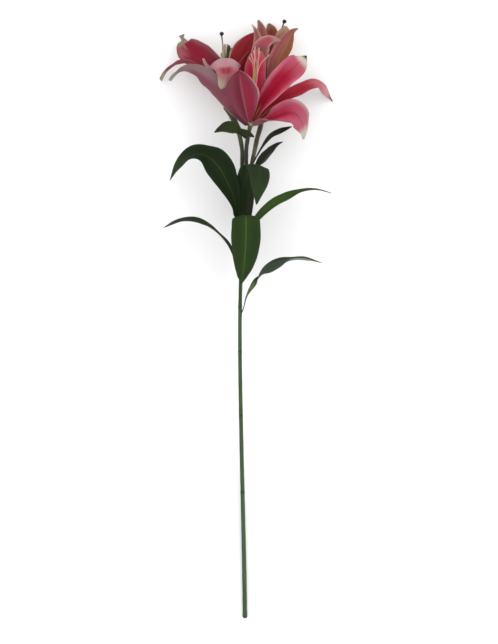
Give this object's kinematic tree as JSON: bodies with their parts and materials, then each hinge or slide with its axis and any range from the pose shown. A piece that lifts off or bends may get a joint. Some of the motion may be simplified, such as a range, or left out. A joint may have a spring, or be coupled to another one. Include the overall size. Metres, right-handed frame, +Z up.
{
  "type": "cut lily",
  "caption": "Cut lily stem with two open pink flowers, one half-open flower and drooping leaves, lying on a surface.",
  "frame": {"origin": "centre of the bounding box's footprint, on the surface that the stem lies on", "axes": "+Y from the cut end towards the flowers, +Z up away from the surface, +X to the right seen from above with the flowers at the top"},
  "size_m": [0.2321, 0.8, 0.1351],
  "materials": {
    "stem": "satin",
    "pedicel": "satin",
    "leaf": "satin",
    "shaded_leaf": "satin",
    "front_petal": "satin",
    "left_petal": "satin",
    "rear_petal": "satin",
    "filament": "matte",
    "style": "matte"
  },
  "bodies": {
    "root": {"front_petal_back": "front_petal", "front_petal_left": "front_petal", "front_petal_lower": "front_petal", "front_petal_near": "front_petal", "front_petal_right": "front_petal", "front_petal_upper": "front_petal", "front_pistil": "style", "front_stamen_1": "filament", "front_stamen_2": "filament", "front_stamen_3": "filament", "front_stamen_4": "filament", "front_stamen_5": "filament", "front_stamen_6": "filament", "leaf_behind": "shaded_leaf", "leaf_centre": "leaf", "leaf_hanging": "leaf", "leaf_left_large": "leaf", "leaf_left_narrow": "leaf", "leaf_left_small": "leaf", "leaf_right": "leaf", "leaf_right_lower": "leaf", "leaf_right_small": "leaf", "leaf_upper_right": "leaf", "leaf_upper_right_short": "leaf", "left_petal_curl": "left_petal", "left_petal_far": "left_petal", "left_petal_inner": "left_petal", "left_petal_left": "left_petal", "left_petal_near": "left_petal", "left_petal_right": "left_petal", "left_petal_under": "left_petal", "left_pistil": "style", "left_stamen_1": "filament", "left_stamen_2": "filament", "left_stamen_3": "filament", "left_stamen_4": "filament", "left_stamen_5": "filament", "left_stamen_6": "filament", "pedicel_front": "pedicel", "pedicel_left": "pedicel", "pedicel_rear": "pedicel", "rear_petal_beige": "rear_petal", "rear_petal_left": "rear_petal", "rear_petal_near": "rear_petal", "rear_petal_right": "rear_petal", "rear_petal_tip": "rear_petal", "rear_petal_top": "rear_petal", "rear_pistil": "style", "rear_stamen_1": "filament", "rear_stamen_2": "filament", "rear_stamen_3": "filament", "rear_stamen_4": "filament", "rear_stamen_5": "filament", "rear_stamen_6": "filament", "stem": "stem"}
  },
  "joints": []
}
